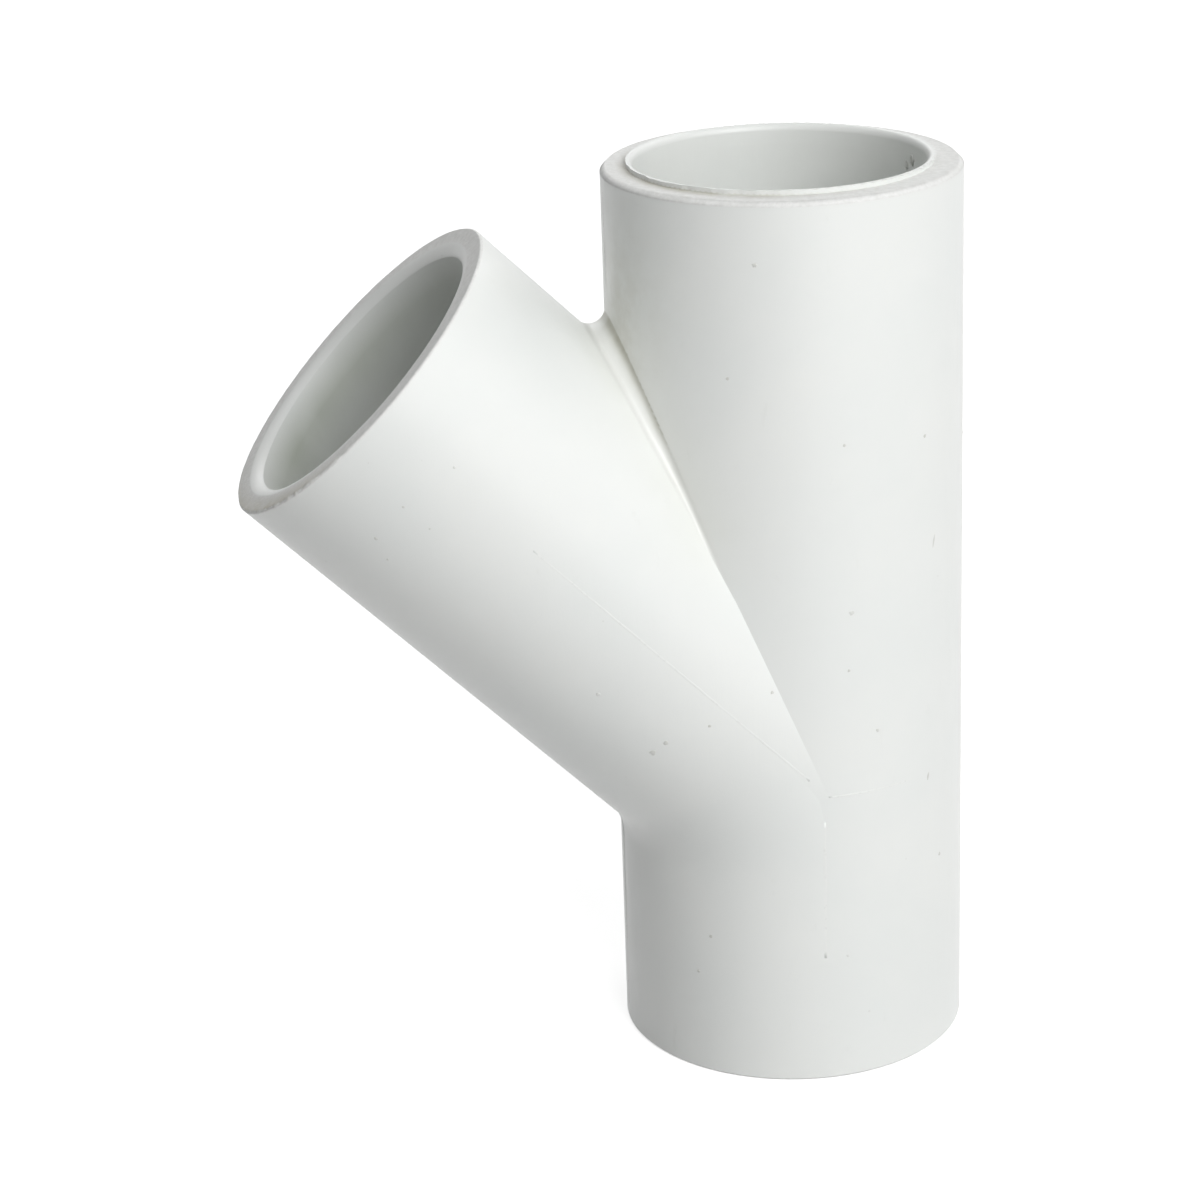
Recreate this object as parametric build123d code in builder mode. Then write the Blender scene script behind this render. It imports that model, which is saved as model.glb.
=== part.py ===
"""Lateral wye fitting for 1 inch plastic pipe: one moulded body with three solvent-weld sockets.

The run stands upright on its lower mouth and the branch leaves it at 45 degrees, up and to -X.
Frame: origin at the centre of the lower end face, +Z up the run, the branch axis in the XZ plane.
All lengths are in millimetres.
"""

import os
from math import cos, radians, sin, tan

from build123d import *

# ---- driving dimensions --------------------------------------------------------------------
pipe_diameter = 33.40  # 1 inch nominal pipe, outside
socket_clearance = 0.05  # radial, between the pipe and the socket wall
socket_depth = 25.4  # how far a pipe goes in before it meets the stop
socket_wall = 4.0  # wall thickness round each socket
waterway_diameter = 26.6  # bore between the stops, the same as the inside of the pipe

branch_angle = 45.0  # degrees between the branch and the upper run
upper_leg = 70.4  # from the crossing of the axes to the upper end face
lower_leg = 36.6  # from the crossing of the axes to the lower end face
branch_leg = 70.4  # from the crossing of the axes to the branch's end face

lead_in_radius = 0.8  # rounding at the mouth of each socket
end_edge_break = 0.3  # bevel round the outside of each end face
lip_height = 0.6  # raised ring left round the upper mouth by the moulding tool
lip_land = 0.25  # flat top of that ring, outside the lead-in
heel_radius = 5.6  # outside bend where the branch's underside runs into the lower leg
crotch_radius = 1.9  # rounding at the bottom of the notch between branch and upper run
crotch_bite = 0.05  # how far that rounding cuts past both walls, so that it meets them cleanly
crotch_fade = 0.3  # how far inside the walls' sides it ends, so that it fades out along the notch
crotch_turn = 75.0  # degrees that it is carried round, each way from the bottom of the notch

# ---- sizes that follow ---------------------------------------------------------------------
socket_radius = pipe_diameter / 2 + socket_clearance
waterway_radius = waterway_diameter / 2
outer_radius = socket_radius + socket_wall
lip_radius = socket_radius + lead_in_radius + lip_land
run_length = lower_leg + upper_leg
half_angle = radians(branch_angle / 2)
same_place = 0.001  # how close two points or radii are when they count as equal

# ---- planes and points: the crossing of the axes, and the three mouths ---------------------
crossing = Vector(0, 0, lower_leg)
branch_direction = Vector(-sin(radians(branch_angle)), 0, cos(radians(branch_angle)))
branch_root = Plane(origin=crossing, x_dir=(0, -1, 0), z_dir=branch_direction)
upper_mouth = Plane.XY.offset(run_length)
lower_mouth = Plane(origin=(0, 0, 0), x_dir=(1, 0, 0), z_dir=(0, 0, -1))
branch_mouth = branch_root.offset(branch_leg)
lip_mouth = upper_mouth.offset(lip_height)


def circles_at(centre, radius):
    """The body's circular edges of this radius round this point."""
    return wye_body.edges().filter_by(
        lambda edge: edge.geom_type == GeomType.CIRCLE
        and abs(edge.radius - radius) < same_place
        and (edge.arc_center - centre).length < same_place
    )


# ---- crotch web: the rounded bottom of the notch between branch and upper run --------------
# Both walls meet on a half ellipse in the plane that halves their angle. The web's section, a
# corner in the walls under a round groove, is turned about the line across that plane, and then
# flattened along Y until the groove follows the half ellipse and fades out inside the walls.
across = Vector(cos(half_angle), 0, sin(half_angle))
outward = Vector(-sin(half_angle), 0, cos(half_angle))
groove_centre = (outer_radius + crotch_radius - crotch_bite) / sin(half_angle)
groove_bottom = groove_centre - crotch_radius
groove_side = crotch_radius * cos(half_angle)
groove_edge = groove_centre - crotch_radius * sin(half_angle)
web_root = (socket_radius + socket_wall / 2) / sin(half_angle)
web_start = outward.rotate(Axis((0, 0, 0), across), crotch_turn)

with BuildPart() as crotch_web:
    with BuildSketch(Plane(origin=crossing, x_dir=across, z_dir=across.cross(web_start))):
        with BuildLine():
            ThreePointArc((groove_side, groove_edge), (0, groove_bottom), (-groove_side, groove_edge))
            Line((-groove_side, groove_edge), (0, web_root))
            Line((0, web_root), (groove_side, groove_edge))
        make_face()
    revolve(axis=Axis(crossing, across), revolution_arc=-2 * crotch_turn)
    scale(by=(1, (outer_radius - crotch_fade) / groove_bottom, 1))

# ---- the moulded body ----------------------------------------------------------------------
with BuildPart() as wye_body:
    # straight run and branch, of the same outside diameter
    with BuildSketch(Plane.XY):
        Circle(outer_radius)
    extrude(amount=run_length)
    with BuildSketch(branch_root):
        Circle(outer_radius)
    extrude(amount=branch_leg)

    # heel: the outside bend is a short elbow, tangent to both walls
    heel_centre = outer_radius + heel_radius
    heel_start = lower_leg - heel_centre * tan(half_angle)
    with BuildSketch(Plane.XY.offset(heel_start)):
        Circle(outer_radius)
    revolve(axis=Axis((-heel_centre, 0, heel_start), (0, -1, 0)), revolution_arc=branch_angle)

    # crotch: the web fills the bottom of the notch
    add(crotch_web.part)

    # raised ring round the upper mouth
    with BuildSketch(upper_mouth):
        Circle(lip_radius)
    extrude(amount=lip_height)

    # sockets and waterways: each mouth is bored to its stop, and on to the crossing
    for mouth, rim, leg in (
        (lip_mouth, lip_height, upper_leg + lower_leg),
        (lower_mouth, 0, lower_leg),
        (branch_mouth, 0, branch_leg),
    ):
        with Locations(mouth):
            CounterBoreHole(
                radius=waterway_radius,
                counter_bore_radius=socket_radius,
                counter_bore_depth=socket_depth + rim,
                depth=leg + rim,
            )

    # rounded lead-ins, and the bevelled outside edges of the end faces
    for mouth in (lip_mouth, lower_mouth, branch_mouth):
        fillet(circles_at(mouth.origin, socket_radius), radius=lead_in_radius)
    for mouth in (upper_mouth, lower_mouth, branch_mouth):
        chamfer(circles_at(mouth.origin, outer_radius), length=end_edge_break)

wye_body.part.label = "wye_body"

os.makedirs("parts", exist_ok=True)
export_step(wye_body.part, "parts/wye_body.step")
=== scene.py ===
"""Looks of a moulded plastic lateral wye fitting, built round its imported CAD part.

The shell starts from the CAD solid's own surface. It is refined until every facet is small and laid
back on the exact cylinders, planes and rounds that the solid is made of. Its mouths and outer edges
are then worn a little, and it is shaded with the surfaces' own normals. Low mould lines and specks
of dirt lie on it.
"""

from math import cos, pi, radians, sin, tan

import bmesh
import bpy
import numpy as np
from mathutils import Matrix, Vector


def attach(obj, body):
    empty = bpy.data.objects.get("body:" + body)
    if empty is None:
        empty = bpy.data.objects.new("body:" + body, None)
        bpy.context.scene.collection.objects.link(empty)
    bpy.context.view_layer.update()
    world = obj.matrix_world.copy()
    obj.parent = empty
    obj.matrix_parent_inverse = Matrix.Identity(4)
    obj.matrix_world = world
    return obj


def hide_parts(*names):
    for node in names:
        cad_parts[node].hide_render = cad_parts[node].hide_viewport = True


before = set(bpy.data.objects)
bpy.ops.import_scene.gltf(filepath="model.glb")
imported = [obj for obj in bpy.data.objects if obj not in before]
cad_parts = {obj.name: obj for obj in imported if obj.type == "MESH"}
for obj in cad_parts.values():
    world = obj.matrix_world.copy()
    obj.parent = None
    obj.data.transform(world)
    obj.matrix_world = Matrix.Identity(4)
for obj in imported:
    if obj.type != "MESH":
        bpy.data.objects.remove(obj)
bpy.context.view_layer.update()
scene = bpy.context.scene

MM = 0.001  # Blender works in metres, and this script's shapes are worked out in millimetres
TINY = 1e-12

# ---- the fitting's sizes, in millimetres, as its CAD source has them ----
OUTER = 20.75  # radius of the run and of the branch
SOCKET = 16.75
WATERWAY = 13.3
LIP = 17.8  # radius of the raised ring round the upper mouth
RUN = 107.0
LIP_TOP = 107.6
CROSS = 36.6  # height of the axes' crossing
BRANCH = 70.4  # from the crossing to the branch's end face
DEPTH = 25.4  # of each socket
ROUND = 0.8  # radius of each lead-in
BREAK = 0.3  # bevel at the end faces
HALF = radians(22.5)  # half the angle between the axes
S45 = sin(radians(45))
HEEL = OUTER + 5.6  # outer radius of the elbow under the branch
HEEL_Z = CROSS - HEEL * tan(HALF)
GROOVE = 1.9  # radius of the rounding in the notch
GROOVE_BITE = 0.05  # how far it cuts past both walls
GROOVE_FADE = 0.3  # how far inside the walls' sides it ends
GROOVE_CENTRE = (OUTER + GROOVE - GROOVE_BITE) / sin(HALF)
GROOVE_FLAT = (OUTER - GROOVE_FADE) / (GROOVE_CENTRE - GROOVE)


# ---- places on and round the two axes ----
def about_run(p):
    """Distance from the run's axis, and height."""
    return np.hypot(p[:, 0], p[:, 1]), p[:, 2]


def about_branch(p):
    """Distance from the branch's axis, and the place along it from the crossing."""
    z = p[:, 2] - CROSS
    return np.hypot(p[:, 1], (p[:, 0] + z) * S45), (z - p[:, 0]) * S45


def across(p, axis):
    """How far each point is off the axis: towards +X (and up, for the branch), and back."""
    if axis is about_run:
        return p[:, 0], p[:, 1]
    return (p[:, 0] + (p[:, 2] - CROSS)) * S45, p[:, 1]


def degrees_round(p, axis):
    """Degrees round the axis, from 0 at the front to 90 on the +X side."""
    side, back = across(p, axis)
    return np.degrees(np.arctan2(side, -back))


def spokes(p, axis):
    """Unit directions straight out from the axis."""
    side, back = across(p, axis)
    if axis is about_run:
        out = np.stack([side, back, 0 * side], 1)
    else:
        out = np.stack([side * S45, back, side * S45], 1)
    return out / np.maximum(np.hypot(side, back), TINY)[:, None]


def unit(v):
    return v / np.maximum(np.linalg.norm(v, axis=-1, keepdims=True), TINY)


# ---- the surfaces: each is below zero inside the solid ----
def tube(axis, radius, solid=1):
    return lambda p: solid * (axis(p)[0] - radius)


def disc(axis, place, way=1):
    return lambda p: way * (axis(p)[1] - place)


def bevel(axis, place, way=1):
    """The 45 degree bevel outside the end face at that place."""
    return lambda p: (axis(p)[0] - OUTER + way * (axis(p)[1] - place) + BREAK) * S45


def lead_in(axis, place, way=1):
    """The rounding at the mouth whose end face is at that place."""

    def f(p):
        r, h = axis(p)
        return np.hypot(r - SOCKET - ROUND, h - place + way * ROUND) - ROUND

    return f


def heel(p):
    ring = np.hypot(p[:, 0] + HEEL, p[:, 2] - HEEL_Z) - HEEL
    return np.hypot(ring, p[:, 1]) - OUTER


def groove(p):
    z = p[:, 2] - CROSS
    up = z * cos(HALF) - p[:, 0] * sin(HALF)
    side = p[:, 0] * cos(HALF) + z * sin(HALF)
    ring = np.hypot(up, p[:, 1] / GROOVE_FLAT) - GROOVE_CENTRE
    return GROOVE - np.hypot(ring, side)


SURFACES = {
    "run": tube(about_run, OUTER),
    "branch": tube(about_branch, OUTER),
    "heel": heel,
    "groove": groove,
    "end_top": disc(about_run, RUN),
    "end_low": disc(about_run, 0.0, -1),
    "end_branch": disc(about_branch, BRANCH),
    "break_top": bevel(about_run, RUN),
    "break_low": bevel(about_run, 0.0, -1),
    "break_branch": bevel(about_branch, BRANCH),
    "lip_side": tube(about_run, LIP),
    "lip_top": disc(about_run, LIP_TOP),
    "lead_top": lead_in(about_run, LIP_TOP),
    "lead_low": lead_in(about_run, 0.0, -1),
    "lead_branch": lead_in(about_branch, BRANCH),
    "bore_run": tube(about_run, SOCKET, -1),
    "bore_branch": tube(about_branch, SOCKET, -1),
    "water_run": tube(about_run, WATERWAY, -1),
    "water_branch": tube(about_branch, WATERWAY, -1),
    "stop_top": disc(about_run, RUN - DEPTH),
    "stop_low": disc(about_run, DEPTH, -1),
    "stop_branch": disc(about_branch, BRANCH - DEPTH),
}
NAMES = list(SURFACES)


def slope(f, p, step=1e-4):
    """Value and gradient of a surface's function at points p."""
    out = np.empty_like(p)
    for k in range(3):
        d = np.zeros(3)
        d[k] = step
        out[:, k] = (f(p + d) - f(p - d)) / (2 * step)
    return f(p), out


# ---- the shell: the CAD surface, refined ----
WELD = 2e-4  # CAD points closer than this are one point
FACING = 0.02  # what a face's direction counts against its distance, to find its surface
FACET = 0.004  # how far a facet may lie from its surface
LONGEST = 5.0  # longest edge, with shorter ones on the surfaces below and in the flared mouths
SHORTER = {
    "lip_side": 0.5,
    "lip_top": 0.5,
    "break_top": 0.6,
    "break_branch": 0.6,
    "end_top": 1.0,
    "groove": 0.5,
}
IN_FLARE = 1.0
FLARE = {"bore_run": (0.15, 3.0), "bore_branch": (0.9, 1.6)}  # extra radius, and how deep it goes
PASSES = 8  # most times that the edges are split
ROUNDS = 4  # times that points are laid back after each pass
LAST_ROUNDS = 14
EASE = 0.6  # clearance over which the notch's rounding runs into a wall


def arrays(bm):
    """Points, triangles, and each triangle's surface."""
    bm.verts.ensure_lookup_table()
    bm.verts.index_update()
    co = np.array([v.co for v in bm.verts], float)
    tri = np.array([[v.index for v in f.verts] for f in bm.faces])
    return co, tri, np.array([f.material_index for f in bm.faces])


def flat_normals(co, tri):
    corner = co[tri]
    return unit(np.cross(corner[:, 1] - corner[:, 0], corner[:, 2] - corner[:, 0]))


def best_surfaces(co, tri):
    """The surface that each triangle lies on and faces along with."""
    corner = co[tri]
    middle = corner.mean(1)
    flat = flat_normals(co, tri)
    score = np.empty((len(NAMES), len(tri)))
    for i, name in enumerate(NAMES):
        f = SURFACES[name]
        off = np.abs(f(corner.reshape(-1, 3))).reshape(-1, 3).max(1)
        _, g = slope(f, middle)
        score[i] = off + FACING * (1 - (unit(g) * flat).sum(1))
    return score.argmin(0)


def below_mouth(p, name):
    """How far into its socket each point of a bore lies."""
    if name == "bore_branch":
        return BRANCH - about_branch(p)[1]
    return np.minimum(p[:, 2], LIP_TOP - p[:, 2])


def edges_to_split(bm):
    """The edges that are too long, or whose middle lies too far from one of their surfaces."""
    edges = list(bm.edges)
    ends = np.array([[v.co for v in e.verts] for e in edges], float)
    middle = ends.mean(1)
    length = np.linalg.norm(ends[:, 0] - ends[:, 1], axis=1)
    split = length > LONGEST
    owners = np.array([[f.material_index for f in (list(e.link_faces) * 2)[:2]] for e in edges])
    for i, name in enumerate(NAMES):
        rows = np.nonzero((owners == i).any(1))[0]
        if not len(rows):
            continue
        value, g = slope(SURFACES[name], middle[rows])
        split[rows] |= np.abs(value) > FACET * np.linalg.norm(g, axis=1)
        split[rows] |= length[rows] > SHORTER.get(name, LONGEST)
        if name in FLARE:
            _, depth = FLARE[name]
            split[rows] |= (length[rows] > IN_FLARE) & (below_mouth(middle[rows], name) < depth)
    return [e for e, far in zip(edges, split) if far]


def touching(tri, owner, count):
    """Which surfaces the faces round each of that many points belong to."""
    mine = np.zeros((count, len(NAMES)), bool)
    for k in range(3):
        mine[tri[:, k], owner] = True
    return mine


def on(mine, name):
    return mine[:, NAMES.index(name)]


def laid_back(co, tri, owner, rounds):
    """Every point moved onto all the surfaces that its faces belong to."""
    mine = touching(tri, owner, len(co))
    for _ in range(rounds):
        for name in NAMES:
            rows = np.nonzero(on(mine, name))[0]
            if len(rows):
                value, g = slope(SURFACES[name], co[rows])
                co[rows] -= g * (value / np.maximum((g * g).sum(1), TINY))[:, None]
    return co


def refined():
    """The CAD node's surface as a fine bmesh, with each face's surface in its material index."""
    bm = bmesh.new()
    bm.from_mesh(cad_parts["wye_body"].data)
    bmesh.ops.scale(bm, vec=(1 / MM,) * 3, verts=bm.verts)
    bmesh.ops.remove_doubles(bm, verts=bm.verts, dist=WELD)
    bmesh.ops.triangulate(bm, faces=bm.faces)
    co, tri, _ = arrays(bm)
    for face, i in zip(bm.faces, best_surfaces(co, tri)):
        face.material_index = int(i)
    for _ in range(PASSES):
        far = edges_to_split(bm)
        if not far:
            break
        bmesh.ops.subdivide_edges(bm, edges=far, cuts=1)
        bmesh.ops.triangulate(bm, faces=[f for f in bm.faces if len(f.verts) > 3])
        co, tri, owner = arrays(bm)
        for vert, place in zip(bm.verts, laid_back(co, tri, owner, ROUNDS)):
            vert.co = place
    return bm


def eased(clear):
    """1 where the notch's rounding meets a wall, falling smoothly to 0 where it stands clear."""
    t = np.clip(1 - clear / EASE, 0, 1)
    return t * t * (3 - 2 * t)


def surface_normals(name, points):
    """A surface's own normals, softened where it is a rounding that runs into a wall."""
    _, g = slope(SURFACES[name], points)
    g = unit(g)
    if name.startswith("break"):  # shaded as a round edge, from the end face over to the wall
        axis = about_branch if name == "break_branch" else about_run
        share = np.clip((axis(points)[0] - OUTER + BREAK) / BREAK, 0, 1)[:, None]
        _, face = slope(SURFACES[name.replace("break", "end")], points)
        _, wall = slope(tube(axis, OUTER), points)
        g = unit(face * (1 - share) + wall * share)
    if name == "groove":
        for axis in (about_branch, about_run):
            share = eased(axis(points)[0] - OUTER)[:, None]
            _, wall = slope(tube(axis, OUTER), points)
            g = g * (1 - share) + wall * share
        g = unit(g)
    return g


def loop_normals(co, tri, owner):
    """The normal of each corner of each triangle."""
    n = np.empty((len(tri), 3, 3))
    for i, name in enumerate(NAMES):
        rows = np.nonzero(owner == i)[0]
        if len(rows):
            n[rows] = surface_normals(name, co[tri[rows]].reshape(-1, 3)).reshape(-1, 3, 3)
    return n


# ---- what the mould, the saw and a trimming knife left: flared mouths and ragged rims ----
LIP_IN = 0.25  # the lip as trimmed, against the lip as moulded
LIP_CALM, LIP_ROUGH = 0.04, 0.13  # how ragged it is all round, and how much more at its worst
LIP_CUT = 0.8  # how far the lip's top goes down where its side is pushed, as a share
ASIDE = 0.22  # how far the upper mouth sits off the axis
ASIDE_DEEP = 12  # depth at which the bore is on the axis again
SOFT = 0.3  # extra rounding of the upper outer edge
BURR_OUT, BURR_UP = 0.5, 0.6  # how an edge's push is shared, away from the axis and along it
BURR_LIFT = 0.3  # burrs stand out more than they cut in


def wander(angle, seed, step):
    """Smooth random values from -1 to 1 round the axis, with about step degrees between knots."""
    knots = np.random.default_rng(seed).uniform(-1, 1, int(360 / step) + 1)
    knots[-1] = knots[0]
    return np.interp(angle % 360, np.linspace(0, 360, len(knots)), knots)


def window(angle, middle, half):
    """1 at the middle angle, falling smoothly to 0 at half on either side."""
    away = np.abs((angle - middle + 180) % 360 - 180) / half
    return np.where(away < 1, (1 - away**2) ** 2, 0)


def flare_mouths(out, co, mine):
    """Widens each bore and its lead-in towards the mouth."""
    for name in ("bore_run", "bore_branch", "lead_top", "lead_low", "lead_branch"):
        bore = "bore_branch" if "branch" in name else "bore_run"
        width, depth = FLARE[bore]
        rows = on(mine, name)
        if name != bore:
            rows = rows & ~on(mine, bore)
        deep = np.clip(below_mouth(co[rows], bore) / depth, 0, 1)
        _, away = slope(SURFACES[bore], co[rows])
        out[rows] -= away * (width * (1 - deep) ** 2)[:, None]


def trim_lip(out, co, mine):
    """Pulls the raised lip in, cuts it ragged, and sets the upper mouth off the axis."""
    radius, height = about_run(co)
    around, ray = degrees_round(co, about_run), spokes(co, about_run)
    fine, broad = wander(around, seed=3, step=2.5), wander(around, seed=4, step=8.0)
    rough = LIP_CALM + LIP_ROUGH * window(around, middle=-55, half=80)
    push = rough * (0.7 * fine + 0.5 * broad)
    lip = on(mine, "lip_side")
    out[lip] += ray[lip] * (push[lip] - LIP_IN)[:, None]
    lead = on(mine, "lead_top") & ~on(mine, "bore_run")
    out[lead] -= ray[lead] * (LIP_IN * np.clip((radius[lead] - SOCKET) / ROUND, 0, 1))[:, None]
    mouth = lead | lip | on(mine, "bore_run")
    out[mouth, 0] -= ASIDE * np.clip(1 - (LIP_TOP - height[mouth]) / ASIDE_DEEP, 0, 1)
    top = lip & on(mine, "lip_top")
    out[top, 2] -= np.abs(LIP_CUT * push[top])


def burr(out, co, mine, end, axis, along, calm, rough, worst, half, seed, step):
    """Pushes an outer edge in and out by calm, and by rough more within half of the worst angle."""
    around, ray = degrees_round(co, axis), spokes(co, axis)
    push = (calm + rough * window(around, worst, half)) * (wander(around, seed, step) + BURR_LIFT)
    edge = on(mine, "break_" + end)
    high = edge & on(mine, "end_" + end)
    out[edge] += ray[edge] * BURR_OUT * push[edge, None]
    out[high] += np.array(along) * BURR_UP * push[high, None]


def soften_top(out, co, mine):
    """Rounds the upper outer edge more broadly than its bevel."""
    edge = on(mine, "break_top")
    down = np.clip((about_run(co[edge])[0] - OUTER + BREAK) / BREAK, 0, 1)
    out[edge] -= spokes(co[edge], about_run) * (SOFT * (1 - down))[:, None]
    out[edge, 2] -= SOFT * down


def worn(co, mine):
    """Where each point goes in the used fitting: only mouths, lip and outer edges move."""
    out = co.copy()
    flare_mouths(out, co, mine)
    trim_lip(out, co, mine)
    top = {"calm": 0.015, "rough": 0.06, "worst": -25, "half": 60, "seed": 5, "step": 3.0}
    burr(out, co, mine, "top", about_run, (0, 0, 1), **top)
    soften_top(out, co, mine)
    branch = {"calm": 0.02, "rough": 0.2, "worst": -42, "half": 45, "seed": 6, "step": 2.0}
    burr(out, co, mine, "branch", about_branch, (-S45, 0, S45), **branch)
    return out


# ---- marks on the shell that its material reads: end faces, painted shade in the bores, round the notch and in its groove, and soil with painted shade at the lip's foot ----
GREY_BORES = 0.1  # share of painted grey shade in every bore but the branch's socket
GREY_FROM, GREY_OVER = 0.7, 1.4  # where the painted shade in the branch's socket starts, and how long it takes to build up
GREY_LEAST = 0.2  # what is left of it away from its place and further in
GREY_END, GREY_FADE = 9, 6  # depth at which only that is left, and how long it takes to go
NOTCH_REACH = 5.0  # how far from the crease the painted yellow shade reaches
GROOVE_SHADE_REACH = 0.85  # half width of the painted shade line, a brown darkening in the notch's groove
GROOVE_SHADE_TILT = 42  # degrees up the notch's rounding, towards the run, at which that line lies
GROOVE_SHADE_FULL = (55, 125)  # degrees round the run between which the line has its full width
GROOVE_SHADE_THIN = 0.06  # how fast it thins out beyond them, in millimetres to the degree
CREASE = np.linspace(40, 140, 161)  # degrees at which the crease is followed
FOOT_REACH = 0.8  # of the painted shade at the lip's foot
SMUDGE_AT, SMUDGE_REACH = (92, -74), (9, 18)  # height, and degrees round the run
SMUDGE_SHARE = 0.45


def bell(value, reach):
    return np.exp(-((value / reach) ** 2))


def mark(mesh, name, values, domain):
    data = mesh.attributes.new(name, "FLOAT", domain).data
    data.foreach_set("value", np.asarray(values, np.float32))


def how_bored(co, tri, owner):
    """How much painted shade, as grey, each corner gets: a little in every bore, most low and back
    in the branch's mouth.
    """
    corner = co[tri.ravel()]
    name = np.repeat(np.array(NAMES)[owner], 3)
    bores = [n for n in NAMES if n.startswith(("bore", "water", "stop")) and n != "bore_branch"]
    grey = np.where(np.isin(name, bores), GREY_BORES, 0.0)
    rows = name == "bore_branch"
    deep = below_mouth(corner[rows], "bore_branch")
    place = window(degrees_round(corner[rows], about_branch), middle=-140, half=125)
    grey[rows] = np.clip((deep - GREY_FROM) / GREY_OVER, 0, 1)
    grey[rows] *= GREY_LEAST + (1 - GREY_LEAST) * place
    grey[rows] *= GREY_LEAST + (1 - GREY_LEAST) * np.clip((GREY_END - deep) / GREY_FADE, 0, 1)
    return grey


def how_soiled_or_shaded(co, mine):
    """Painted shade at the lip's foot, dirt on the low edge of the branch's mouth, and a smudge on
    the run.
    """
    radius, z = about_run(co)
    around = degrees_round(co, about_run)
    face = (on(mine, "end_top") | on(mine, "lip_side")) & (z < RUN + 0.1)
    # painted shade at the foot of the lip, on its front-left side
    foot = window(around, middle=-60, half=100) * bell(radius - LIP, FOOT_REACH) * face
    high = bell(z - SMUDGE_AT[0], SMUDGE_REACH[0])
    aside = bell(around - SMUDGE_AT[1], SMUDGE_REACH[1])
    smudge = SMUDGE_SHARE * high * aside * on(mine, "run")
    edge = on(mine, "break_branch") & on(mine, "end_branch")
    mouth = window(degrees_round(co, about_branch), middle=-62, half=60) * edge
    return np.maximum(np.maximum(foot, smudge), mouth)


def crease_points(turned):
    """Two places by degrees round the run from the front: where the walls would meet in the notch,
    and one in its rounding, on the run's side of the bottom."""
    t, tilt = radians(turned), radians(GROOVE_SHADE_TILT)
    x = -OUTER * sin(t)
    point = np.array([x, -OUTER * cos(t), CROSS - x / tan(HALF)])
    ring = GROOVE_CENTRE - GROOVE * cos(tilt)
    up = ring * max(1 - (point[1] / (GROOVE_FLAT * ring)) ** 2, 0) ** 0.5
    side = GROOVE * sin(tilt)
    x = -up * sin(HALF) + side * cos(HALF)
    z = CROSS + up * cos(HALF) + side * sin(HALF)
    return point, np.array([x, point[1], z])


def along_crease(co):
    """How near each point is to the crease, and to the line of painted shade beside it."""
    near, line = np.full(len(co), np.inf), np.full(len(co), np.inf)
    first, last = GROOVE_SHADE_FULL
    for turned in CREASE:
        point, low = crease_points(turned)
        near = np.minimum(near, np.linalg.norm(co - point, axis=1))
        slack = GROOVE_SHADE_THIN * max(first - turned, turned - last, 0)
        line = np.minimum(line, np.linalg.norm(co - low, axis=1) + slack)
    return near, line


def mesh_arrays(mesh):
    """Points, triangles, and each triangle's surface, as they are in a triangulated mesh."""
    co = np.empty(len(mesh.vertices) * 3, np.float32)
    mesh.vertices.foreach_get("co", co)
    tri = np.empty(len(mesh.loops), np.int32)
    mesh.loops.foreach_get("vertex_index", tri)
    owner = np.empty(len(mesh.polygons), np.int32)
    mesh.polygons.foreach_get("material_index", owner)
    return co.reshape(-1, 3).astype(float), tri.reshape(-1, 3), owner


def make_shell():
    bm = refined()
    mesh = bpy.data.meshes.new("wye_shell")
    bm.to_mesh(mesh)
    bm.free()
    co, tri, owner = mesh_arrays(mesh)
    co = laid_back(co, tri, owner, LAST_ROUNDS)
    mine = touching(tri, owner, len(co))
    used = worn(co, mine)
    kind = np.array([name.split("_")[0] for name in NAMES])[owner]
    turn = flat_normals(used, tri) - flat_normals(co, tri)
    turn *= np.isin(kind, ("lip", "break", "bore", "lead"))[:, None]
    normals = unit(loop_normals(co, tri, owner) + turn[:, None, :])
    mesh.vertices.foreach_set("co", (used * MM).astype(np.float32).ravel())
    mesh.polygons.foreach_set("material_index", np.zeros(len(owner), np.int32))
    mesh.polygons.foreach_set("use_smooth", np.ones(len(owner), bool))
    mesh.update()
    mesh.normals_split_custom_set(normals.reshape(-1, 3).tolist())
    near, line = along_crease(co)
    inside = on(mine, "groove") & ~on(mine, "run")
    mark(mesh, "end_face", np.repeat(np.isin(kind, ("end", "break")), 3), "CORNER")
    # painted shade in the bores
    mark(mesh, "bored", how_bored(co, tri, owner), "CORNER")
    # dirt on the run and the branch's mouth, and painted shade at the lip's foot
    mark(mesh, "soil_and_shade", how_soiled_or_shaded(co, mine), "POINT")
    # painted shade: a yellow tint round the notch's crease
    mark(mesh, "notch", bell(near, NOTCH_REACH), "POINT")
    # painted shade: a brown line darkening the notch's groove
    mark(mesh, "groove_shade", bell(line, GROOVE_SHADE_REACH) * inside, "POINT")
    thing = bpy.data.objects.new("wye_shell", mesh)
    scene.collection.objects.link(thing)
    return thing


# ---- walls: point and outward direction, by the place along a wall and degrees round it ----
def on_run(place, around):
    a = radians(around)
    out = np.array([sin(a), -cos(a), 0.0])
    return out * OUTER + np.array([0, 0, place]), out


def on_branch(place, around):
    a = radians(around)
    out = np.array([sin(a) * S45, -cos(a), sin(a) * S45])
    return np.array([0, 0, CROSS]) + out * OUTER + np.array([-S45, 0, S45]) * place, out


def in_bore(place, around):
    """On the wall of the upper socket, which faces inwards."""
    a = radians(around)
    out = np.array([sin(a), -cos(a), 0.0])
    return out * SOCKET + np.array([-ASIDE, 0, place]), -out


def on_heel(_, turned):
    """On the inside line of the elbow under the branch, by degrees up from the lower leg."""
    a = radians(turned)
    out = np.array([cos(a), 0, sin(a)])
    return np.array([-HEEL, 0, HEEL_Z]) + out * (HEEL - OUTER), -out


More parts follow.
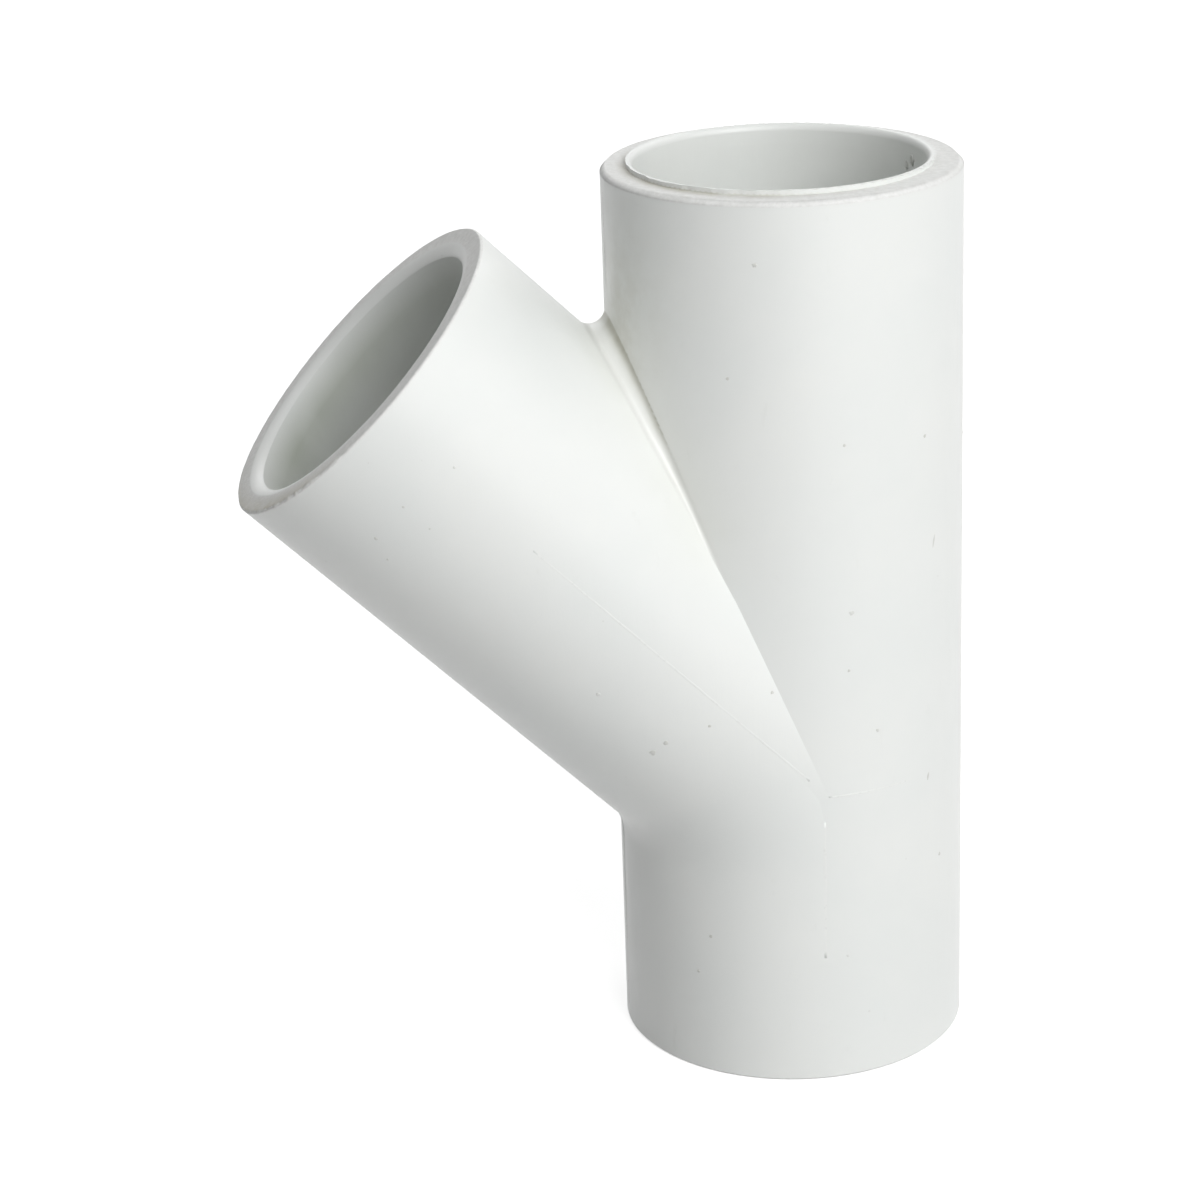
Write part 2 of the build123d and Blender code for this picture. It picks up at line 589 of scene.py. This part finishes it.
def mesh_piece(name, parts, material):
    """One piece from several closed parts, each given by its corners and faces."""
    verts, faces = [], []
    for v, f in parts:
        faces += [tuple(i + len(verts) for i in face) for face in f]
        verts += [tuple(p * MM) for p in v]
    mesh = bpy.data.meshes.new(name)
    mesh.from_pydata(verts, [], faces)
    bm = bmesh.new()
    bm.from_mesh(mesh)
    bmesh.ops.recalc_face_normals(bm, faces=bm.faces)
    bm.to_mesh(mesh)
    bm.free()
    mesh.polygons.foreach_set("use_smooth", np.ones(len(mesh.polygons), bool))
    mesh.materials.append(material)
    thing = bpy.data.objects.new(name, mesh)
    scene.collection.objects.link(thing)
    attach(thing, "root")
    return thing


# ---- lines left by the mould: low closed ridges that lie on a wall ----
# The section's corners: place across, as a share of the width, and height, as a share of the
# ridge's or in millimetres below the wall.
SECTION = ((-0.5, -0.03), (-0.25, 0.6), (0.0, 1.0), (0.25, 0.6), (0.5, -0.03))
SUNK = 0.08  # how deep the ridge's own underside lies in the wall
KNOT = 4  # places along a ridge for each change of its height
SHAKE = 0.06  # how far a ridge strays sideways, as a share of its width
END_GAP = 0.6  # a line stops this far short of an end face


def ridge(places, width, height, seed, fade=(0.15, 0.15)):
    """Corners and faces of a ridge along (wall, along, around) places, fading out at both ends."""
    spots = [wall(along, around) for wall, along, around in places]
    points = np.array([p for p, _ in spots])
    out = np.array([n for _, n in spots])
    side = np.cross(np.gradient(points, axis=0), out)
    side /= np.linalg.norm(side, axis=1, keepdims=True)
    rng = np.random.default_rng(seed)
    count = len(points)
    knots = rng.uniform(0.35, 1.0, count // KNOT + 2)
    tall = height * np.interp(np.arange(count) / KNOT, np.arange(len(knots)), knots)
    share = np.linspace(0, 1, count)
    tall *= np.clip(share / fade[0], 0, 1) * np.clip((1 - share) / fade[1], 0, 1)
    points = points + side * (rng.uniform(-1, 1, count) * width * SHAKE)[:, None]
    verts, faces = [], []
    for k in range(count):
        for over, up in SECTION:
            lift = up * tall[k] if up > 0 else up
            verts.append(points[k] + side[k] * over * width + out[k] * lift)
        verts.append(points[k] - out[k] * SUNK)
    ring = len(SECTION) + 1
    for k in range(count - 1):
        for j in range(ring):
            a, b = ring * k + j, ring * k + (j + 1) % ring
            faces.append((a, b, b + ring, a + ring))
    faces.append(tuple(range(ring - 1, -1, -1)))
    faces.append(tuple(ring * (count - 1) + j for j in range(ring)))
    return verts, faces


def straight(wall, first, last, step, around):
    """Places along a wall at one angle."""
    count = max(int(abs(last - first) / step), 4)
    return [(wall, v, around) for v in np.linspace(first, last, count)]


def mould_lines(material):
    clear = OUTER / tan(HALF) + 5.5  # how far from the crossing the notch's rounding has ended
    top, end = RUN - END_GAP, BRANCH - END_GAP
    front = straight(on_branch, first=3.2, last=47, step=0.9, around=0)
    back = straight(on_branch, first=3.2, last=47, step=0.9, around=180)
    front_arc = [(on_run, CROSS, v) for v in np.arange(0, 34, 1.5)]
    back_arc = [(on_run, CROSS, v) for v in np.arange(180, 146, -1.5)]
    down = straight(on_run, first=CROSS - 3, last=16, step=0.9, around=-1.5)
    seam = straight(on_branch, first=end, last=HEEL * tan(HALF), step=1.2, around=-90)
    seam += [(on_heel, 0, v) for v in np.linspace(45, 0, 8)][1:-1]
    seam += straight(on_run, first=HEEL_Z, last=END_GAP, step=1.2, around=-90)
    spine = straight(on_run, first=END_GAP, last=top, step=1.2, around=90)
    notch_branch = straight(on_branch, first=clear, last=end, step=1.0, around=90)
    notch_run = straight(on_run, first=CROSS + clear, last=top, step=1.0, around=-90)
    parts = [
        ridge(front, width=0.4, height=0.022, seed=11, fade=(0.02, 0.4)),
        ridge(back, width=0.4, height=0.022, seed=12, fade=(0.02, 0.4)),
        ridge(front_arc, width=0.32, height=0.018, seed=13, fade=(0.02, 0.4)),
        ridge(back_arc, width=0.32, height=0.025, seed=14, fade=(0.02, 0.4)),
        ridge(down, width=0.6, height=0.012, seed=15, fade=(0.05, 0.6)),
        ridge(seam, width=0.32, height=0.07, seed=16, fade=(0.03, 0.03)),
        ridge(spine, width=0.32, height=0.06, seed=17, fade=(0.03, 0.03)),
        ridge(notch_branch, width=0.3, height=0.05, seed=18),
        ridge(notch_run, width=0.3, height=0.05, seed=19),
    ]
    return mesh_piece("mould_lines", parts, material)


# ---- specks: grains of dirt pressed into the wall, as very low domes ----
SPECKS = [  # wall, place along it, degrees round it, radius and, where it is drawn out, by how much
    (on_run, 100, -21, 0.34),
    (on_run, 87, -30, 0.26),
    (on_run, 59, 8, 0.36),
    (on_run, 79, 6, 0.22),
    (on_run, 78, 37, 0.26),
    (on_run, 65, 42, 0.2, 5.0),
    (on_run, 25, 46, 0.3),
    (on_run, 32, -9, 0.3),
    (on_run, 31, -30, 0.24),
    (on_run, 36, 39, 0.2, 3.0),
    (on_run, 44, 17, 0.26),
    (on_run, 52, 7, 0.22),
    (on_run, 18, -40, 0.3),
    (on_run, 13, -45, 0.24),
    (on_run, 16, 6, 0.24),
    (in_bore, 105.2, 101, 0.5, 1.4),
    (in_bore, 104.4, 106, 0.34, 1.8),
    (on_branch, 19, -27, 0.5),
    (on_branch, 19, -21, 0.36),
    (on_branch, 29, -23, 0.34),
    (on_branch, 17, -7, 0.26),
    (on_branch, 14, 14, 0.24),
]
MORE_SPECKS = 34  # on the sides that these don't cover
ON_RUN = 0.6  # share of them on the run
CORNERS = 10  # of a speck's rings
RINGS = ((0.55, 0.02), (1.0, -0.02))  # share of the radius, and height over the wall
DOME = 0.03
ROOT = 0.1  # depth of a speck's lowest point in the wall


def speck(wall, along, around, radius, seed, stretch=1.0):
    """Corners and faces of one speck."""
    point, out = wall(along, around)
    rng = np.random.default_rng(seed)
    side = np.cross(out, (0.3, 0.1, 1.0))
    side /= np.linalg.norm(side)
    up = np.cross(out, side)
    verts, faces = [point + out * DOME], []
    for share, lift in RINGS:
        for k in range(CORNERS):
            a = 2 * pi * k / CORNERS
            r = radius * share * (1 + 0.3 * rng.uniform(-1, 1))
            verts.append(point + side * cos(a) * r + up * sin(a) * r * stretch + out * lift)
    verts.append(point - out * ROOT)
    inner, outer, bottom = 1, 1 + CORNERS, 1 + 2 * CORNERS
    for k in range(CORNERS):
        j = (k + 1) % CORNERS
        faces.append((0, inner + k, inner + j))
        faces.append((inner + k, outer + k, outer + j, inner + j))
        faces.append((bottom, outer + j, outer + k))
    return verts, faces


def specks(material):
    placed = list(SPECKS)
    rng = np.random.default_rng(41)
    for _ in range(MORE_SPECKS):
        if rng.uniform() < ON_RUN:
            spot = (on_run, rng.uniform(4, 103), rng.uniform(60, 250), rng.uniform(0.12, 0.34))
        else:
            spot = (on_branch, rng.uniform(56, 68), rng.uniform(-180, 180), rng.uniform(0.12, 0.3))
        placed.append(spot)
    parts = [speck(*p[:4], seed, *p[4:]) for seed, p in enumerate(placed)]
    return mesh_piece("specks", parts, material)


# ---- node helpers ----
class Nodes:
    """The emptied node tree of a material or world, with short calls for the nodes used here."""

    def __init__(self, owner, output="OutputMaterial"):
        owner.use_nodes = True
        self.tree = owner.node_tree
        self.tree.nodes.clear()
        self.out = self.add(output)

    def add(self, kind, inputs=(), **settings):
        node = self.tree.nodes.new("ShaderNode" + kind)
        for key, value in settings.items():
            setattr(node, key, value)
        for key, value in dict(inputs).items():
            self.feed(node.inputs[key], value)
        return node

    def feed(self, socket, value):
        """Links an input to an output, or sets its own value."""
        if isinstance(value, bpy.types.NodeSocket):
            self.tree.links.new(value, socket)
        else:
            socket.default_value = value

    def surface(self, shader):
        self.feed(self.out.inputs["Surface"], shader.outputs[0])

    def place(self):
        """The place on the object, in millimetres."""
        return self.stretched(self.add("TexCoord").outputs["Object"], (1 / MM,) * 3)

    def stretched(self, where, scale):
        return self.add("VectorMath", {0: where, 1: scale}, operation="MULTIPLY").outputs[0]

    def math(self, operation, a, b, clamp=False):
        return self.add("Math", {0: a, 1: b}, operation=operation, use_clamp=clamp).outputs[0]

    def blend(self, share, a, b):
        """A colour between a and b."""
        inputs = {"Factor": share, "A": a, "B": b}
        return self.add("Mix", inputs, data_type="RGBA").outputs["Result"]

    def spread(self, value, low, high, to_low=0.0, to_high=1.0):
        """A value from low to high, brought smoothly onto another range."""
        inputs = dict(enumerate((value, low, high, to_low, to_high)))
        return self.add("MapRange", inputs, interpolation_type="SMOOTHSTEP").outputs[0]

    def noise(self, where, scale, detail=2.0, rough=0.5):
        """Noise with about this many features to the unit of where."""
        inputs = {"Vector": where, "Scale": scale, "Detail": detail, "Roughness": rough}
        return self.add("TexNoise", inputs).outputs[0]

    def attribute(self, name):
        return self.add("Attribute", attribute_name=name).outputs["Fac"]

    def bump(self, height, distance, before=None):
        """Relief of this many millimetres, over the relief before it."""
        inputs = {"Strength": 1.0, "Distance": distance * MM, "Height": height}
        if before is not None:
            inputs["Normal"] = before
        return self.add("Bump", inputs).outputs[0]

    def seen(self):
        """1 for what the camera sees, also in gloss or through glass, and 0 for what lights it."""
        path = self.add("LightPath").outputs
        mirrored = self.math("MAXIMUM", path["Is Glossy Ray"], path["Is Transmission Ray"])
        return self.math("MAXIMUM", path["Is Camera Ray"], mirrored)


# ---- materials ----
PVC_IOR = 1.53
WHITE = (0.815, 0.83, 0.81, 1)
CLOUDED = (0.775, 0.80, 0.785, 1)
NOTCH_SHADE_TINT = (0.735, 0.735, 0.66, 1)  # painted shade round the notch's crease, tinted yellow
GROOVE_SHADE_TINT = (0.44, 0.43, 0.34, 1)  # painted shade in the notch's groove, a brown line
# painted shade in the bores, grey-green
BORE_SHADE_TINT = (0.50, 0.535, 0.465, 1)
CHALK_DARK, CHALK_PALE = (0.76, 0.765, 0.745, 1), (0.85, 0.855, 0.84, 1)  # end faces
# dirt, and painted shade at the lip's foot
SOIL_AND_SHADE = (0.53, 0.51, 0.43, 1)
PIN_PRICK = (0.42, 0.41, 0.36, 1)
SMEAR = (0.60, 0.61, 0.57, 1)
FLASH_DARK, FLASH_PALE = (0.79, 0.805, 0.785, 1), (0.84, 0.855, 0.835, 1)  # mould lines
SPECK_DARK, SPECK_PALE = (0.62, 0.62, 0.585, 1), (0.75, 0.76, 0.74, 1)


def pvc_colour(n, place, marks):
    """White with cloudy patches, painted shade round the notch, in its groove and in the bores,
    chalky end faces, dirt, and painted shade at the lip's foot.
    """
    cloud = n.spread(n.noise(place, 0.06, 3.0, 0.55), 0.35, 0.7, 0.0, 0.5)
    colour = n.blend(cloud, WHITE, CLOUDED)
    # painted shade: a yellow-tinted darkening round the notch's crease
    notch_shade = n.math("MULTIPLY", marks["notch"], n.spread(n.noise(place, 0.12), 0.3, 0.7, 0.1, 0.28))
    colour = n.blend(notch_shade, colour, NOTCH_SHADE_TINT)
    # painted shade: a brown line darkening the groove of the notch
    dark = n.math("MULTIPLY", marks["groove_shade"], n.spread(n.noise(place, 0.4), 0.3, 0.7, 0.55, 0.8))
    colour = n.blend(dark, colour, GROOVE_SHADE_TINT)
    drawn = n.noise(n.stretched(place, (0.16, 0.16, 0.07)), 1.0, 3.0)
    # painted shade: the bores greyed, most low and back in the branch's socket
    bore_shading = n.math("MULTIPLY", marks["bored"], n.spread(drawn, 0.3, 0.7, 0.7, 1.0))
    colour = n.blend(bore_shading, colour, BORE_SHADE_TINT)
    chalk = n.spread(n.noise(place, 1.4, 5.0, 0.7), 0.3, 0.7)
    colour = n.blend(marks["end_face"], colour, n.blend(chalk, CHALK_DARK, CHALK_PALE))
    uneven = n.spread(n.noise(place, 0.35, 3.0, 0.6), 0.3, 0.65, 0.4, 0.9)
    # dirt on the run and the branch's mouth, and painted shade at the lip's foot
    colour = n.blend(n.math("MULTIPLY", marks["soil_and_shade"], uneven), colour, SOIL_AND_SHADE)

    # pin-prick dirt: a dot in some of the cells of a loose grid, and soft grey smears
    cells = n.add("TexVoronoi", {"Vector": place, "Scale": 0.2}, feature="F1")
    chance = n.add("SeparateColor", {0: cells.outputs["Color"]}).outputs[0]
    size = n.spread(chance, 0.6, 1.0, 0.0, 0.04)
    dot = n.math("LESS_THAN", cells.outputs["Distance"], size)
    colour = n.blend(n.math("MULTIPLY", dot, 0.15), colour, PIN_PRICK)
    wiped = n.noise(n.stretched(place, (1.0, 1.0, 0.35)), 0.5, 6.0, 0.7)
    return n.blend(n.spread(wiped, 0.62, 0.78, 0.0, 0.16), colour, SMEAR)


def pvc_roughness(n, place, marks):
    """Half gloss, broken up by fine handling marks, and duller end faces and bores."""
    rub = n.noise(n.stretched(place, (2.2, 2.2, 0.16)), 1.0, 4.0, 0.6)
    rough = n.spread(rub, 0.3, 0.75, 0.30, 0.46)
    rough = n.math("ADD", rough, n.math("MULTIPLY", marks["end_face"], 0.28))
    return n.math("ADD", rough, n.math("MULTIPLY", marks["bored"], 0.08), clamp=True)


def pvc_relief(n, place, marks):
    """Slow sink marks, fine draw lines, grain, and the torn grain of the end faces."""
    relief = n.bump(n.noise(place, 0.045, 1.0), 0.22)
    relief = n.bump(n.noise(n.stretched(place, (1.6, 1.6, 0.08)), 1.0), 0.006, relief)
    relief = n.bump(n.noise(place, 5.0), 0.004, relief)
    torn = n.math("MULTIPLY", marks["end_face"], n.noise(place, 2.4, 4.0, 0.65))
    return n.bump(torn, 0.05, relief)


def pvc_material():
    """Off-white moulded plastic, a little used."""
    material = bpy.data.materials.new("pvc_white")
    n = Nodes(material)
    place = n.place()
    marks = {a: n.attribute(a) for a in ("end_face", "bored", "notch", "groove_shade", "soil_and_shade")}
    inputs = {
        "Base Color": pvc_colour(n, place, marks),
        "Roughness": pvc_roughness(n, place, marks),
        "IOR": PVC_IOR,
        "Normal": pvc_relief(n, place, marks),
    }
    n.surface(n.add("BsdfPrincipled", inputs))
    return material


def flash_material():
    """The same plastic where it was squeezed out between mould halves: paler and shinier."""
    material = bpy.data.materials.new("pvc_flash")
    n = Nodes(material)
    place = n.place()
    inputs = {
        "Base Color": n.blend(n.noise(place, 0.8, 3.0), FLASH_DARK, FLASH_PALE),
        "Roughness": n.spread(n.noise(place, 2.0), 0.3, 0.7, 0.26, 0.42),
        "IOR": PVC_IOR,
    }
    n.surface(n.add("BsdfPrincipled", inputs))
    return material


def dirt_material():
    """Grey-brown grains, no two quite alike."""
    material = bpy.data.materials.new("pvc_speck")
    n = Nodes(material)
    place = n.place()
    tone = n.spread(n.noise(place, 0.25), 0.35, 0.65)
    inputs = {
        "Base Color": n.blend(tone, SPECK_DARK, SPECK_PALE),
        "Roughness": n.spread(n.noise(place, 3.0), 0.3, 0.7, 0.45, 0.65),
    }
    n.surface(n.add("BsdfPrincipled", inputs))
    return material


white = pvc_material()
shell = make_shell()
shell.data.materials.append(white)
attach(shell, "root")
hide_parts("wye_body")
mould_lines(flash_material())
specks(dirt_material())


# ---- floor, world and lamps: places in metres, powers in watts ----
FLOOR_SIZE = 6.0
FLOOR_GREY = (0.62, 0.62, 0.62, 1)
PURE_WHITE = (1, 1, 1, 1)
NEAR, FAR = 0.35, 0.9  # the floor's glow rises between these distances from the fitting
NEAR_GLOW = 0.72
WORLD_LIGHT = 0.12
LAMP_AWAY = 0.9
LAMP_SIZE = 0.5
LAMP_AIM = (0.0, 0.0, 0.055)
LAMPS = {  # azimuth from the front towards +X, elevation, power
    "front_low": (15, 10, 1.7),
    "front_high": (15, 35, 3.55),
    "right_high": (40, 35, 1.8),
    "back_right": (125, 35, 1.3),
    "back_left": (-120, 60, 1.1),
    "back": (180, 30, 1.1),
    "overhead": (0, 75, 0.25),
}


def floor_material():
    """Matt grey for the light, with a glow that only the camera sees, up to white far away."""
    material = bpy.data.materials.new("paper_floor")
    n = Nodes(material)
    diffuse = n.add("BsdfDiffuse", {"Color": FLOOR_GREY})
    where = n.add("TexCoord").outputs["Object"]
    away = n.add("VectorMath", {0: where}, operation="LENGTH").outputs["Value"]
    strength = n.math("MULTIPLY", n.seen(), n.spread(away, NEAR, FAR, NEAR_GLOW, 1.0))
    glow = n.add("Emission", {"Color": PURE_WHITE, "Strength": strength})
    n.surface(n.add("AddShader", {0: diffuse.outputs[0], 1: glow.outputs[0]}))
    return material


def make_floor():
    bpy.ops.mesh.primitive_plane_add(size=FLOOR_SIZE)
    floor = bpy.context.object
    floor.name = "floor"
    floor.data.materials.append(floor_material())


def make_world():
    """White to the camera, and a faint even light on the object."""
    world = bpy.data.worlds.new("studio")
    n = Nodes(world, "OutputWorld")
    strength = n.spread(n.seen(), 0.0, 1.0, WORLD_LIGHT, 1.0)
    n.surface(n.add("Background", {"Color": PURE_WHITE, "Strength": strength}))
    scene.world = world


def outward(azimuth, elevation):
    """Direction from the fitting by radians round it, from the front towards +X, and up."""
    flat = cos(elevation)
    return Vector((sin(azimuth) * flat, -cos(azimuth) * flat, sin(elevation)))


def lamp(name, azimuth, elevation, power):
    """A square soft box that faces the fitting."""
    data = bpy.data.lights.new(name, "AREA")
    data.shape = "SQUARE"
    data.size = LAMP_SIZE
    data.energy = power
    thing = bpy.data.objects.new(name, data)
    scene.collection.objects.link(thing)
    away = outward(radians(azimuth), radians(elevation))
    thing.location = Vector(LAMP_AIM) + away * LAMP_AWAY
    thing.rotation_euler = away.to_track_quat("Z", "Y").to_euler()


make_floor()
make_world()
for name, (azimuth, elevation, power) in LAMPS.items():
    lamp(name, azimuth, elevation, power)

# ---- camera ----
LENS, SENSOR = 98.3, 36.0
YAW, PITCH, ROLL = radians(-8.97), radians(20.19), radians(-2.01)
STANDOFF, TO_RIGHT, TO_TOP = 19.18, -1.107, 0.764  # from the axes' crossing, in outer radii


def make_camera():
    data = bpy.data.cameras.new("camera")
    data.lens = LENS
    data.sensor_width = SENSOR
    data.clip_start = 0.01
    thing = bpy.data.objects.new("camera", data)
    scene.collection.objects.link(thing)
    back = outward(YAW, PITCH)
    level = Vector((cos(YAW), sin(YAW), 0.0))
    upright = back.cross(level)
    right = level * cos(ROLL) + upright * sin(ROLL)
    up = -level * sin(ROLL) + upright * cos(ROLL)
    crossing = Vector((0, 0, CROSS * MM))
    place = crossing + (back * STANDOFF + right * TO_RIGHT + up * TO_TOP) * (OUTER * MM)
    thing.matrix_world = Matrix.Translation(place) @ Matrix((right, up, back)).transposed().to_4x4()
    scene.camera = thing


make_camera()

scene.view_settings.view_transform = "Standard"
